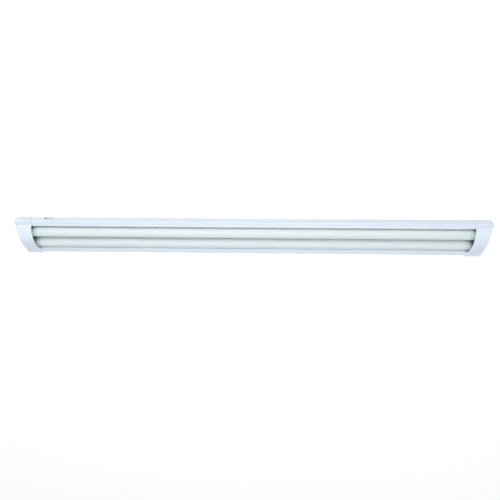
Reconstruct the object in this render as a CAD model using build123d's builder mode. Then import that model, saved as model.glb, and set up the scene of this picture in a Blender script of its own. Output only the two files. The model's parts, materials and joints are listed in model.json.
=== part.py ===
from build123d import *
import os

os.makedirs("parts", exist_ok=True)

# A twin-tube ceiling fitting, lit side down. The origin is the centre of the back face that meets the
# ceiling, X runs along the tubes and the near side of the fitting is at -Y. All sizes are millimetres.

# Body sheet metal
sheet = 1.0
bend_radius = 1.6
tray_width = 108.0
tray_back_width = 104.0
tray_depth = 22.0
tray_end_setback = 4.0
rim_width = 16.0
lip_height = 4.0
corner_notch_length = 14.0
corner_notch_width = 7.0
spine_width = 56.0
spine_depth = 24.0
spine_flange = 10.0
spine_end_setback = 8.0
flange_relief_length = 34.0
reflector_sheet = 0.8
reflector_floor_width = 64.0
reflector_edge_width = 5.0
reflector_end_gap = 2.0

# Lamps: T8 glass with two-pin bases, and the room for caps and lampholders beyond each end of them
lamp_length = 1199.4
end_room = 30.3
lamp_pitch = 34.0
lamp_setback = 2.0
glass_diameter = 26.0
glass_wall = 0.8
neck_length = 8.0
base_diameter = 25.6
base_length = 12.0
base_wall = 0.5
base_corner = 2.0
base_opening_diameter = 20.0
disc_thickness = 2.0
pin_spacing = 12.7
pin_diameter = 2.4
pin_length = 7.1
stem_thickness = 2.0
stem_depth = 6.0
press_length = 18.0
press_width = 10.0
press_thickness = 2.4
cathode_span = 8.0
cathode_reach = 8.0
cathode_wire = 0.8

# Lampholders with a quarter-turn rotor
holder_width = 26.0
holder_depth = 16.0
holder_cover_thickness = 1.8
holder_cover_inset = 0.8
rotor_diameter = 13.2
rotor_length = 8.4
rotor_slot_width = 2.9
spigot_diameter = 5.0
spigot_length = 3.5
track_diameter = 16.4
entry_width = 3.4
contact_thickness = 0.5
contact_width = 4.0
contact_lead_in = 1.5
plug_length = 6.0
plug_width = 18.0
plug_rise = 1.6
barb_overhang = 0.6

# End caps
cap_length = 43.0
cap_wall = 1.6
cap_crown_ratio = 0.4
cap_crown_margin = 5.0
cap_crown_inset = 1.5
cap_lean = 5.0
cap_back_step = 3.0
ledge_overlap = 0.4
cap_corner_radius = 3.0
cap_crease_radius = 1.2
cap_crown_radius = 3.0
tongue_length = 26.0
tongue_width = 8.0
tongue_thickness = 1.5

# Control gear and wiring
ballast_length = 280.0
ballast_width = 30.0
ballast_height = 20.0
ballast_foot = 13.0
ballast_skin = 0.6
terminal_length = 12.0
terminal_height = 14.0
wire_diameter = 1.8
wire_height = 9.0
wire_bend = 6.0
wire_entry_depth = 6.0
lamp_wire_inner = 9.5
lamp_wire_outer = 12.3
mains_wire_offset = 5.0
block_from_ballast = 76.0
block_length = 22.0
block_width = 15.0
block_height = 14.0
block_screw_spacing = 12.0
tag_from_ballast = 50.0
tag_foot = 14.0
tag_width = 7.0
tag_height = 12.0
sleeve_length = 6.0
sleeve_diameter = 3.8
saddle_inner_x = 350.0
saddle_from_end = 100.0
saddle_length = 8.0
saddle_width = 30.0
saddle_height = 11.0
saddle_peg_diameter = 4.0
saddle_peg_length = 2.0

# Ceiling fixing and cable entry
slot_spacing = 900.0
slot_length = 14.0
slot_width = 6.0
grommet_from_ballast = 130.0
grommet_bore = 10.0
grommet_sleeve_diameter = 14.0
grommet_flange_diameter = 19.0
grommet_flange_thickness = 2.5

# Knock-outs for other cable entries, pressed part way through the sheet
knockout_diameter = 20.0
end_knockout_diameter = 16.0
knockout_press = 0.4

# Punched holes in the near side wall, by the left end cap
wall_hole_level = 0.3
wall_hole_large_from_cap = 37.0
wall_hole_large = 5.5
wall_hole_small_from_cap = 50.5
wall_hole_small = 3.5
wall_hole_small_spacing = 5.8

# Fasteners
m4_shank = 4.0
m4_head = 7.6
m4_head_height = 2.2
m3_shank = 2.8
m3_head = 5.6
m3_head_height = 2.0
screw_grip = 5.0
screw_tip = 1.0
driver_slot_width = 1.0
driver_slot_depth = 0.9
tray_screw_spacing = 660.0
reflector_screw_from_ballast = 60.0
reflector_screw_from_end = 170.0
spacer_diameter = 8.0
spacer_length = 2.5
nut_diameter = 8.0
nut_height = 3.0
clamp_screw_diameter = 3.4

# Fits
clearance = 0.3
fine_clearance = 0.1
wire_clearance = 0.2

# Levels and places worked out from the sizes
overall_length = lamp_length + 2 * end_room
back_z = -spine_depth
floor_z = back_z - sheet
rim_z = back_z - tray_depth
lamp_z = rim_z + lamp_setback
wire_z = back_z + wire_height
reflector_back_z = floor_z - spacer_length
reflector_front_z = reflector_back_z - reflector_sheet
tray_end = overall_length / 2 - tray_end_setback
spine_end = overall_length / 2 - spine_end_setback
lamp_half = lamp_length / 2
opening_half = tray_width / 2 - rim_width
holder_face = lamp_half + clearance
plug_x = holder_face + holder_depth / 2
reflector_half = lamp_half - reflector_end_gap
mouth_x = overall_length / 2 - cap_length
flange_screw_y = (spine_width - spine_flange) / 2
ballast_half = ballast_length / 2
block_x = -ballast_half - block_from_ballast
tag_x = -ballast_half - tag_from_ballast
grommet_x = -ballast_half - grommet_from_ballast
saddle_outer_x = overall_length / 2 - saddle_from_end
reflector_screw_inner_x = ballast_half + reflector_screw_from_ballast
reflector_screw_outer_x = overall_length / 2 - reflector_screw_from_end
lamp_rows = {"near": -lamp_pitch / 2, "rear": lamp_pitch / 2}
ends = {"left": -1, "right": 1}


def save(part, label):
    """Write one finished piece under its own name."""
    part.label = label
    export_step(part, f"parts/{label}.step")


def wall_half(z):
    """Half width over the outside of the tray's sloping walls at height z."""
    spread = (tray_width - tray_back_width) / 2
    return tray_back_width / 2 + spread * (back_z - z) / tray_depth


def folded_sheet(points, thickness, side, half_length):
    """A sheet folded along the outline of one face, thickened to one side, as a prism along X."""
    with BuildPart() as folded:
        with BuildSketch(Plane.YZ):
            with BuildLine():
                FilletPolyline(*points, radius=bend_radius)
                offset(amount=thickness, side=side)
            make_face()
        extrude(amount=half_length, both=True)
    return folded.part


def pan_screws(points, seat_z, shank, head, head_height, length):
    """Pan-head screws driven upwards, with their heads under seat_z."""
    with BuildPart() as screws:
        with BuildSketch(Plane.XY.offset(seat_z)):
            with Locations(*points):
                Circle(head / 2)
        extrude(amount=-head_height)
        head_edges = screws.faces().group_by(Axis.Z)[0].edges()
        fillet(head_edges, radius=head_height / 3)
        with BuildSketch(Plane.XY.offset(seat_z)):
            with Locations(*points):
                Circle(shank / 2)
        extrude(amount=length)
        with BuildSketch(Plane.XY.offset(seat_z - head_height)):
            with Locations(*points):
                Rectangle(head, driver_slot_width)
        extrude(amount=driver_slot_depth, mode=Mode.SUBTRACT)
    return screws.part


def across(x, y):
    """The two points at +x and -x on the line y."""
    return [(-x, y), (x, y)]


# Where the fasteners and pegs pass through the tray's floor
tray_screw_points = [
    point
    for y in (-flange_screw_y, flange_screw_y)
    for point in across(tray_screw_spacing / 2, y)
]
reflector_screw_points = across(reflector_screw_inner_x, 0) + across(reflector_screw_outer_x, 0)
ballast_screw_points = across(ballast_half + ballast_foot / 2, 0)
saddle_points = across(saddle_inner_x, 0) + across(saddle_outer_x, 0)
block_screw_points = [(block_x - block_screw_spacing / 2, 0), (block_x + block_screw_spacing / 2, 0)]
earth_screw_point = (tag_x + tag_foot / 2 + sheet, 0)
plug_points = [point for y in lamp_rows.values() for point in across(plug_x, y)]

# Tray: one folded sheet with sloping walls, inward rims and a turned-up lip
tray_outline = [
    (-opening_half, rim_z + lip_height),
    (-opening_half, rim_z),
    (-tray_width / 2, rim_z),
    (-tray_back_width / 2, back_z),
    (tray_back_width / 2, back_z),
    (tray_width / 2, rim_z),
    (opening_half, rim_z),
    (opening_half, rim_z + lip_height),
]
with BuildPart() as tray:
    add(folded_sheet(tray_outline, sheet, Side.RIGHT, tray_end))
    with BuildSketch(Plane.XY.offset(back_z)):
        with Locations(*plug_points):
            Rectangle(plug_length + 2 * clearance, plug_width + 2 * clearance)
        with Locations(*tray_screw_points, *reflector_screw_points, *ballast_screw_points):
            Circle(m4_shank / 2 + wire_clearance)
        with Locations(*block_screw_points):
            Circle(m3_shank / 2 + wire_clearance)
        with Locations(earth_screw_point):
            Circle(m4_shank / 2 + wire_clearance)
        with Locations(*saddle_points):
            Circle(saddle_peg_diameter / 2 + fine_clearance)
    extrude(amount=-sheet, mode=Mode.SUBTRACT)
    # Corner notches that take the ledges of the end caps, which sit lower than the tray's back
    with BuildSketch(Plane.XY.offset(back_z)):
        notch_x = tray_end - corner_notch_length / 2
        notch_y = tray_back_width / 2 - corner_notch_width / 2 + bend_radius
        with Locations((-notch_x, -notch_y), (-notch_x, notch_y), (notch_x, -notch_y), (notch_x, notch_y)):
            Rectangle(corner_notch_length, corner_notch_width + 2 * bend_radius)
    extrude(amount=-(cap_back_step + cap_wall + clearance), mode=Mode.SUBTRACT)
    # Punched holes in the near wall, nearer to its back than to its rim
    with BuildSketch(Plane.XZ.offset(tray_width / 2)):
        wall_hole_z = back_z - wall_hole_level * tray_depth
        with Locations((wall_hole_large_from_cap - mouth_x, wall_hole_z)):
            Circle(wall_hole_large / 2)
        with Locations((wall_hole_small_from_cap - mouth_x, wall_hole_z)):
            with GridLocations(wall_hole_small_spacing, 1, 2, 1):
                Circle(wall_hole_small / 2)
    extrude(amount=-(tray_width - tray_back_width) / 2 - 2 * sheet, mode=Mode.SUBTRACT)
save(tray.part, "tray")

# Spine: a channel on the back, open to the tray, with folded end plates and the ceiling slots
spine_outline = [
    (-spine_width / 2 + spine_flange, back_z),
    (-spine_width / 2, back_z),
    (-spine_width / 2, 0),
    (spine_width / 2, 0),
    (spine_width / 2, back_z),
    (spine_width / 2 - spine_flange, back_z),
]
with BuildPart() as spine:
    add(folded_sheet(spine_outline, sheet, Side.RIGHT, spine_end))
    for end in ends.values():
        with BuildSketch(Plane.YZ.offset(end * spine_end)):
            with Locations((0, back_z / 2)):
                Rectangle(spine_width - sheet, spine_depth - sheet)
        extrude(amount=-end * sheet)
    # Flanges cut back at both ends, where the lampholders snap in
    with BuildSketch(Plane.XY.offset(back_z)):
        relief_x = spine_end - sheet - flange_relief_length / 2
        with Locations((-relief_x, 0), (relief_x, 0)):
            Rectangle(flange_relief_length, spine_width)
    extrude(amount=bend_radius, mode=Mode.SUBTRACT)
    with BuildSketch(Plane.XY.offset(back_z)):
        with Locations(*tray_screw_points):
            Circle(m4_shank / 2 + fine_clearance)
    extrude(amount=sheet, mode=Mode.SUBTRACT)
    with BuildSketch(Plane.XY):
        with GridLocations(slot_spacing, 1, 2, 1):
            SlotOverall(slot_length, slot_width)
        with Locations((grommet_x, 0)):
            Circle(grommet_sleeve_diameter / 2 + fine_clearance)
    extrude(amount=-sheet, mode=Mode.SUBTRACT)
    # Knock-outs in the back and in the end plates, sunk outside and raised inside
    for level, mode in ((0, Mode.SUBTRACT), (-sheet, Mode.ADD)):
        with BuildSketch(Plane.XY.offset(level)):
            with Locations((0, 0), (-grommet_x, 0)):
                Circle(knockout_diameter / 2)
        extrude(amount=-knockout_press, mode=mode)
        for end in ends.values():
            with BuildSketch(Plane.YZ.offset(end * (spine_end + level))):
                with Locations((0, back_z / 2)):
                    Circle(end_knockout_diameter / 2)
            extrude(amount=-end * knockout_press, mode=mode)
save(spine.part, "spine")

# Cable grommet, pushed in from inside and flush with the back
with BuildPart() as cable_grommet:
    with BuildSketch(Plane.XY):
        with Locations((grommet_x, 0)):
            Circle(grommet_sleeve_diameter / 2)
    extrude(amount=-sheet)
    with BuildSketch(Plane.XY.offset(-sheet)):
        with Locations((grommet_x, 0)):
            Circle(grommet_flange_diameter / 2)
    extrude(amount=-grommet_flange_thickness)
    fillet(cable_grommet.faces().sort_by(Axis.Z)[0].edges(), radius=grommet_flange_thickness / 4)
    with BuildSketch(Plane.XY):
        with Locations((grommet_x, 0)):
            Circle(grommet_bore / 2)
    extrude(amount=-sheet - grommet_flange_thickness, mode=Mode.SUBTRACT)
save(cable_grommet.part, "cable_grommet")

# Reflector: its edges rest on the lips and its floor stands off the tray on spacers
lip_top_z = rim_z + lip_height + clearance
reflector_outline = [
    (-opening_half - reflector_edge_width, lip_top_z),
    (-opening_half, lip_top_z),
    (-reflector_floor_width / 2, reflector_front_z),
    (reflector_floor_width / 2, reflector_front_z),
    (opening_half, lip_top_z),
    (opening_half + reflector_edge_width, lip_top_z),
]
with BuildPart() as reflector:
    add(folded_sheet(reflector_outline, reflector_sheet, Side.LEFT, reflector_half))
    with BuildSketch(Plane.XY.offset(reflector_front_z)):
        with Locations(*reflector_screw_points):
            Circle(m4_shank / 2 + wire_clearance)
    extrude(amount=reflector_sheet, mode=Mode.SUBTRACT)
save(reflector.part, "reflector")

with BuildPart() as reflector_spacers:
    with BuildSketch(Plane.XY.offset(reflector_back_z)):
        with Locations(*reflector_screw_points):
            Circle(spacer_diameter / 2)
            Circle(m4_shank / 2 + wire_clearance, mode=Mode.SUBTRACT)
    extrude(amount=spacer_length)
save(reflector_spacers.part, "reflector_spacers")

reflector_screw_length = reflector_sheet + spacer_length + sheet + nut_height + screw_tip
reflector_screws = pan_screws(
    reflector_screw_points, reflector_front_z, m4_shank, m4_head, m4_head_height, reflector_screw_length
)
save(reflector_screws, "reflector_screws")

with BuildPart() as reflector_nuts:
    with BuildSketch(Plane.XY.offset(back_z)):
        with Locations(*reflector_screw_points):
            RegularPolygon(nut_diameter / 2, 6)
            Circle(m4_shank / 2 + fine_clearance, mode=Mode.SUBTRACT)
    extrude(amount=nut_height)
save(reflector_nuts.part, "reflector_nuts")

tray_screws = pan_screws(tray_screw_points, floor_z, m4_shank, m4_head, m4_head_height, screw_grip)
save(tray_screws, "tray_screws")


# Lamps
def lamp_plane(y):
    """The upright plane through a lamp's axis, with the axis as its local X."""
    return Plane(origin=(0, y, lamp_z), x_dir=(1, 0, 0), z_dir=(0, -1, 0))


def lamp_axis(y):
    return Axis((0, y, lamp_z), (1, 0, 0))


neck_radius = base_diameter / 2 - base_wall - fine_clearance
shoulder_x = lamp_half - base_length
stem_x = shoulder_x + stem_depth


def lamp_glass(y):
    """A glass pipe with a narrower neck at each end, inside the bases."""
    outer = glass_diameter / 2
    with BuildPart() as glass:
        with BuildSketch(lamp_plane(y)):
            with BuildLine():
                Polyline(
                    (0, outer - glass_wall),
                    (0, outer),
                    (shoulder_x, outer),
                    (shoulder_x, neck_radius),
                    (shoulder_x + neck_length, neck_radius),
                    (shoulder_x + neck_length, neck_radius - glass_wall),
                    (shoulder_x - glass_wall, neck_radius - glass_wall),
                    (shoulder_x - glass_wall, outer - glass_wall),
                    close=True,
                )
            make_face()
        revolve(axis=lamp_axis(y))
        mirror(about=Plane.YZ)
    return glass.part


def lamp_bases(y):
    """The aluminium cup at each end, with its rolled-in face."""
    outer = base_diameter / 2
    opening = base_opening_diameter / 2
    with BuildPart() as bases:
        with BuildSketch(lamp_plane(y)):
            with BuildLine():
                Polyline((shoulder_x, outer - base_wall), (shoulder_x, outer), (lamp_half - base_corner, outer))
                RadiusArc((lamp_half - base_corner, outer), (lamp_half, outer - base_corner), base_corner)
                Polyline(
                    (lamp_half, outer - base_corner),
                    (lamp_half, opening),
                    (lamp_half - base_wall, opening),
                    (lamp_half - base_wall, outer - base_corner),
                )
                RadiusArc(
                    (lamp_half - base_wall, outer - base_corner),
                    (lamp_half - base_corner, outer - base_wall),
                    -(base_corner - base_wall),
                )
                Line((lamp_half - base_corner, outer - base_wall), (shoulder_x, outer - base_wall))
            make_face()
        revolve(axis=lamp_axis(y))
        mirror(about=Plane.YZ)
    return bases.part


def pin_points(y):
    """Pin centres with the lamp locked in, one each side of the axis."""
    return [(y - pin_spacing / 2, lamp_z), (y + pin_spacing / 2, lamp_z)]


def lamp_discs(y):
    """The insulating disc behind each base's face, with a boss that fills the opening."""
    back_x = lamp_half - base_wall - disc_thickness
    with BuildPart() as discs:
        with BuildSketch(Plane.YZ.offset(back_x)):
            with Locations((y, lamp_z)):
                Circle(base_diameter / 2 - base_corner - fine_clearance)
        extrude(amount=disc_thickness)
        with BuildSketch(Plane.YZ.offset(back_x)):
            with Locations((y, lamp_z)):
                Circle(base_opening_diameter / 2 - fine_clearance)
        extrude(amount=disc_thickness + base_wall)
        with BuildSketch(Plane.YZ.offset(back_x)):
            with Locations(*pin_points(y)):
                Circle(pin_diameter / 2 + fine_clearance / 2)
        extrude(amount=disc_thickness + base_wall, mode=Mode.SUBTRACT)
        mirror(about=Plane.YZ)
    return discs.part


def lamp_pins(y):
    """Two round-nosed pins at each end."""
    back_x = lamp_half - base_wall - disc_thickness
    with BuildPart() as pins:
        with BuildSketch(Plane.YZ.offset(back_x)):
            with Locations(*pin_points(y)):
                Circle(pin_diameter / 2)
        extrude(amount=lamp_half + pin_length - back_x)
        fillet(pins.faces().group_by(Axis.X)[-1].edges(), radius=pin_diameter / 4)
        mirror(about=Plane.YZ)
    return pins.part


def lamp_stems(y):
    """The glass foot that closes each neck, with the flat press that carries the cathode."""
    with BuildPart() as stems:
        with BuildSketch(Plane.YZ.offset(stem_x)):
            with Locations((y, lamp_z)):
                Circle(neck_radius - glass_wall - fine_clearance / 2)
        extrude(amount=stem_thickness)
        with BuildSketch(Plane.YZ.offset(stem_x)):
            with Locations((y, lamp_z)):
                Rectangle(press_width, press_thickness)
        extrude(amount=-press_length)
        mirror(about=Plane.YZ)
    return stems.part


def lamp_cathodes(y):
    """A hairpin of support wire and filament in front of each press."""
    root_x = stem_x - press_length
    tip_x = root_x - cathode_reach
    with BuildPart() as cathodes:
        with BuildLine() as hairpin:
            FilletPolyline(
                (root_x, y - cathode_span / 2, lamp_z),
                (tip_x, y - cathode_span / 2, lamp_z),
                (tip_x, y + cathode_span / 2, lamp_z),
                (root_x, y + cathode_span / 2, lamp_z),
                radius=cathode_wire * 2,
            )
        with BuildSketch(Plane.YZ.offset(root_x)):
            with Locations((y - cathode_span / 2, lamp_z)):
                Circle(cathode_wire / 2)
        sweep(path=hairpin.line)
        mirror(about=Plane.YZ)
    return cathodes.part


for lamp, row_y in lamp_rows.items():
    save(lamp_glass(row_y), f"{lamp}_tube_glass")
    save(lamp_bases(row_y), f"{lamp}_tube_bases")
    save(lamp_discs(row_y), f"{lamp}_tube_base_discs")
    save(lamp_pins(row_y), f"{lamp}_tube_pins")
    save(lamp_stems(row_y), f"{lamp}_tube_stems")
    save(lamp_cathodes(row_y), f"{lamp}_tube_cathodes")


# Lampholders
rotor_face = holder_face + clearance
cavity_depth = rotor_length + 2 * clearance
contact_inner = pin_spacing / 2 + pin_diameter / 2 + clearance + fine_clearance
contact_centre = contact_inner + contact_thickness / 2


def contact_points(y):
    return [(y - contact_centre, lamp_z), (y + contact_centre, lamp_z)]


def holder_outline(y, inset):
    """The holder's outline: straight sides down from the tray, and a round nose about the lamp axis."""
    height = floor_z - lamp_z - inset
    with Locations((y, lamp_z)):
        Circle(holder_width / 2 - inset)
    with Locations((y, lamp_z + height / 2)):
        Rectangle(holder_width - 2 * inset, height)


def lampholder_body(end, y):
    """The moulded holder: pin track, entry slot, rotor bearing, contact pockets and a snap-in foot."""
    with BuildPart() as body:
        with BuildSketch(Plane.YZ.offset(end * holder_face)):
            holder_outline(y, 0)
        extrude(amount=end * holder_depth)
        with BuildSketch(Plane.YZ.offset(end * holder_face)):
            with Locations((y, lamp_z)):
                Circle(track_diameter / 2)
            with Locations((y, lamp_z - holder_width / 2)):
                Rectangle(entry_width, holder_width)
        extrude(amount=end * cavity_depth, mode=Mode.SUBTRACT)
        with BuildSketch(Plane.YZ.offset(end * holder_face)):
            with Locations((y, lamp_z)):
                Circle(spigot_diameter / 2 + fine_clearance)
        extrude(amount=end * (cavity_depth + spigot_length), mode=Mode.SUBTRACT)
        with BuildSketch(Plane.YZ.offset(end * (holder_face + contact_lead_in))):
            with Locations(*contact_points(y)):
                Rectangle(contact_thickness + 2 * fine_clearance, contact_width + 2 * fine_clearance)
        extrude(amount=end * (holder_depth - contact_lead_in), mode=Mode.SUBTRACT)
        with BuildSketch(Plane.XY.offset(floor_z)):
            with Locations((end * plug_x, y)):
                Rectangle(plug_length, plug_width)
        extrude(amount=sheet + plug_rise)
        with BuildSketch(Plane.XY.offset(back_z + wire_clearance)):
            with Locations((end * plug_x, y)):
                Rectangle(plug_length, plug_width + 2 * barb_overhang)
        extrude(amount=plug_rise - wire_clearance)
    return body.part


def lampholder_cover(end, y):
    with BuildPart() as cover:
        with BuildSketch(Plane.YZ.offset(end * (holder_face + holder_depth))):
            holder_outline(y, holder_cover_inset)
        extrude(amount=end * holder_cover_thickness)
        outer_face = cover.faces().sort_by(Axis.X)[-1 if end > 0 else 0]
        chamfer(outer_face.edges(), length=holder_cover_thickness / 3)
    return cover.part


def lampholder_contacts(end, y):
    """A spring strip on each side of the pin track."""
    with BuildPart() as contacts:
        with BuildSketch(Plane.YZ.offset(end * (holder_face + contact_lead_in + clearance))):
            with Locations(*contact_points(y)):
                Rectangle(contact_thickness, contact_width)
        extrude(amount=end * (holder_depth - contact_lead_in - clearance - fine_clearance))
    return contacts.part


def lampholder_rotor(end, y):
    """The slotted rotor that the lamp's pins turn."""
    with BuildPart() as rotor:
        with BuildSketch(Plane.YZ.offset(end * rotor_face)):
            with Locations((y, lamp_z)):
                Circle(rotor_diameter / 2)
        extrude(amount=end * rotor_length)
        with BuildSketch(Plane.YZ.offset(end * (rotor_face + rotor_length))):
            with Locations((y, lamp_z)):
                Circle(spigot_diameter / 2)
        extrude(amount=end * spigot_length)
        with BuildSketch(Plane.YZ.offset(end * rotor_face)):
            with Locations((y, lamp_z)):
                Rectangle(rotor_diameter * 2, rotor_slot_width)
        extrude(amount=end * pin_length, mode=Mode.SUBTRACT)
    return rotor.part


for lamp, row_y in lamp_rows.items():
    for side, end in ends.items():
        save(lampholder_body(end, row_y), f"{lamp}_{side}_lampholder")
        save(lampholder_cover(end, row_y), f"{lamp}_{side}_lampholder_cover")
        save(lampholder_contacts(end, row_y), f"{lamp}_{side}_lampholder_contacts")
        save(lampholder_rotor(end, row_y), f"{lamp}_{side}_lampholder_rotor")


# End caps: a skirt round the tray's end and an arched crown that covers the lampholders
cap_end = overall_length / 2
cap_back_z = back_z - cap_back_step
cap_flange_z = rim_z - clearance - cap_wall
crown_half = opening_half + cap_crown_margin
cap_crown = cap_crown_ratio * crown_half
crown_radius = (crown_half**2 + cap_crown**2) / (2 * cap_crown)
crown_centre_z = cap_flange_z - cap_crown + crown_radius


def skirt_solid(inset):
    """The skirt as a prism, clear of the tray by the fit and drawn in by inset."""
    bottom_z = cap_flange_z + inset
    top_half = wall_half(cap_back_z) + clearance + cap_wall - inset
    bottom_half = wall_half(bottom_z) + clearance + cap_wall - inset
    with BuildPart() as skirt:
        with BuildSketch(Plane.YZ.offset(mouth_x)):
            with BuildLine():
                Polyline(
                    (-top_half, cap_back_z),
                    (top_half, cap_back_z),
                    (bottom_half, bottom_z),
                    (-bottom_half, bottom_z),
                    close=True,
                )
            make_face()
        extrude(amount=cap_length - inset)
    return skirt.part


def crown_solid(inset):
    """The crown as a prism on a circular segment, whose far end leans inwards towards its crest."""
    chord_z = cap_flange_z + inset
    crest_z = cap_flange_z - cap_crown
    foot_x = cap_end - cap_crown_inset - inset
    radius = crown_radius - inset
    half = (radius**2 - (crown_centre_z - chord_z) ** 2) ** 0.5
    with BuildPart() as crown:
        with BuildSketch(Plane.YZ.offset(mouth_x)):
            with BuildLine():
                ThreePointArc((-half, chord_z), (0, crown_centre_z - radius), (half, chord_z))
                Line((half, chord_z), (-half, chord_z))
            make_face()
        extrude(amount=cap_length)
        with BuildSketch(Plane.XZ):
            with BuildLine():
                Polyline(
                    (mouth_x, chord_z),
                    (foot_x, chord_z),
                    (foot_x - cap_lean, crest_z),
                    (mouth_x, crest_z),
                    close=True,
                )
            make_face()
        extrude(amount=crown_half, both=True, mode=Mode.INTERSECT)
    return crown.part


with BuildPart() as right_end_cap:
    add(skirt_solid(0))
    end_face = right_end_cap.faces().sort_by(Axis.X)[-1]
    fillet(end_face.edges().filter_by(Axis.Y, reverse=True), radius=cap_corner_radius)
    under_face = right_end_cap.faces().sort_by(Axis.Z)[0]
    mouth_edge = under_face.edges().sort_by(Axis.X)[0]
    fillet(under_face.edges().filter_by(lambda edge: edge != mouth_edge), radius=cap_crease_radius)
    add(crown_solid(0))
    crown_end = right_end_cap.edges().filter_by(GeomType.ELLIPSE).sort_by(SortBy.LENGTH)[-1]
    fillet(crown_end, radius=cap_crown_radius)
    add(skirt_solid(cap_wall), mode=Mode.SUBTRACT)
    add(crown_solid(cap_wall), mode=Mode.SUBTRACT)
    # Ledges that close the tray's corner notches, and an end wall that comes up level with its back
    ledge_start = tray_end - corner_notch_length + clearance
    ledge_end = cap_end - cap_wall + ledge_overlap
    ledge_inner = tray_back_width / 2 - corner_notch_width + clearance
    ledge_outer = wall_half(cap_back_z) + clearance + ledge_overlap
    with BuildSketch(Plane.XY.offset(cap_back_z)):
        ledge_x = (ledge_start + ledge_end) / 2
        ledge_y = (ledge_inner + ledge_outer) / 2
        with Locations((ledge_x, -ledge_y), (ledge_x, ledge_y)):
            Rectangle(ledge_end - ledge_start, ledge_outer - ledge_inner)
    extrude(amount=-cap_wall)
    with BuildSketch(Plane.YZ.offset(cap_end)):
        with Locations((0, (back_z + cap_back_z) / 2)):
            Rectangle(2 * ledge_inner, cap_back_step)
    extrude(amount=-cap_wall)
    # Tongues that slide behind the tray's rims and hold the cap on
    tongue_y = tray_width / 2 - rim_width / 2
    with BuildSketch(Plane.XY.offset(rim_z + sheet + clearance)):
        with Locations((cap_end - cap_wall - tongue_length / 2, -tongue_y)):
            Rectangle(tongue_length, tongue_width)
        with Locations((cap_end - cap_wall - tongue_length / 2, tongue_y)):
            Rectangle(tongue_length, tongue_width)
    extrude(amount=tongue_thickness)
save(right_end_cap.part, "right_end_cap")

with BuildPart() as left_end_cap:
    mirror(right_end_cap.part, about=Plane.YZ)
save(left_end_cap.part, "left_end_cap")

# Ballast: a foot plate, a cover, the potted core and a terminal strip at each end
core_half = ballast_half - terminal_length - clearance
skin_half = ballast_width / 2 - ballast_skin
ballast_top_z = back_z + ballast_height
with BuildPart() as ballast_base:
    with BuildSketch(Plane.XY.offset(back_z)):
        Rectangle(ballast_length + 2 * ballast_foot, ballast_width)
        with Locations(*ballast_screw_points):
            Circle(m4_shank / 2 + fine_clearance, mode=Mode.SUBTRACT)
    extrude(amount=sheet)
    fillet(ballast_base.edges().filter_by(Axis.Z), radius=sheet * 2)
save(ballast_base.part, "ballast_base")

with BuildPart() as ballast_cover:
    with BuildSketch(Plane.YZ):
        with BuildLine():
            FilletPolyline(
                (-ballast_width / 2, back_z + sheet),
                (-ballast_width / 2, ballast_top_z),
                (ballast_width / 2, ballast_top_z),
                (ballast_width / 2, back_z + sheet),
                radius=bend_radius,
            )
            offset(amount=ballast_skin, side=Side.RIGHT)
        make_face()
    extrude(amount=ballast_half, both=True)
save(ballast_cover.part, "ballast_cover")

with BuildPart() as ballast_core:
    with BuildSketch(Plane.YZ):
        with BuildLine():
            Polyline(
                (-skin_half + fine_clearance, back_z + sheet),
                (-skin_half + fine_clearance, ballast_top_z - bend_radius),
                (-skin_half + bend_radius, ballast_top_z - ballast_skin - fine_clearance),
                (skin_half - bend_radius, ballast_top_z - ballast_skin - fine_clearance),
                (skin_half - fine_clearance, ballast_top_z - bend_radius),
                (skin_half - fine_clearance, back_z + sheet),
                close=True,
            )
        make_face()
    extrude(amount=core_half, both=True)
save(ballast_core.part, "ballast_core")


def terminal_strip(end, ways):
    """A push-in terminal strip with one round entry for each wire."""
    with BuildPart() as strip:
        with BuildSketch(Plane.XY.offset(back_z + sheet)):
            with Locations((end * (ballast_length - terminal_length) / 2, 0)):
                Rectangle(terminal_length, 2 * (skin_half - fine_clearance))
        extrude(amount=terminal_height)
        with BuildSketch(Plane.YZ.offset(end * ballast_half)):
            with Locations(*[(y, wire_z) for y in ways]):
                Circle(wire_diameter / 2 + wire_clearance)
        extrude(amount=-end * (wire_entry_depth + clearance), mode=Mode.SUBTRACT)
    return strip.part


lamp_ways = [-lamp_wire_outer, -lamp_wire_inner, lamp_wire_inner, lamp_wire_outer]
mains_ways = [-mains_wire_offset, mains_wire_offset]
save(terminal_strip(ends["left"], lamp_ways + mains_ways), "ballast_mains_terminal")
save(terminal_strip(ends["right"], lamp_ways), "ballast_lamp_terminal")
ballast_screws = pan_screws(ballast_screw_points, floor_z, m4_shank, m4_head, m4_head_height, screw_grip)
save(ballast_screws, "ballast_screws")

# Mains terminal block with three through ways and a clamp screw at each end of each way
block_ways = [-mains_wire_offset, 0, mains_wire_offset]
clamp_points = [(block_x + side * block_length / 4, y) for side in (-1, 1) for y in block_ways]
clamp_tip_z = wire_z + wire_diameter / 2 + wire_clearance
with BuildPart() as mains_terminal_block:
    with BuildSketch(Plane.XY.offset(back_z)):
        with Locations((block_x, 0)):
            Rectangle(block_length, block_width)
    extrude(amount=block_height)
    chamfer(mains_terminal_block.faces().sort_by(Axis.Z)[-1].edges().filter_by(Axis.X), length=sheet)
    with BuildSketch(Plane.YZ.offset(block_x - block_length / 2)):
        with Locations(*[(y, wire_z) for y in block_ways]):
            Circle(wire_diameter / 2 + wire_clearance)
    extrude(amount=block_length, mode=Mode.SUBTRACT)
    with BuildSketch(Plane.XY.offset(back_z + block_height)):
        with Locations(*clamp_points):
            Circle(clamp_screw_diameter / 2 + fine_clearance)
    extrude(amount=-(back_z + block_height - clamp_tip_z), mode=Mode.SUBTRACT)
    with BuildSketch(Plane.XY.offset(back_z)):
        with Locations(*block_screw_points):
            Circle(m3_shank / 2 + fine_clearance)
    extrude(amount=screw_grip, mode=Mode.SUBTRACT)
save(mains_terminal_block.part, "mains_terminal_block")

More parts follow.
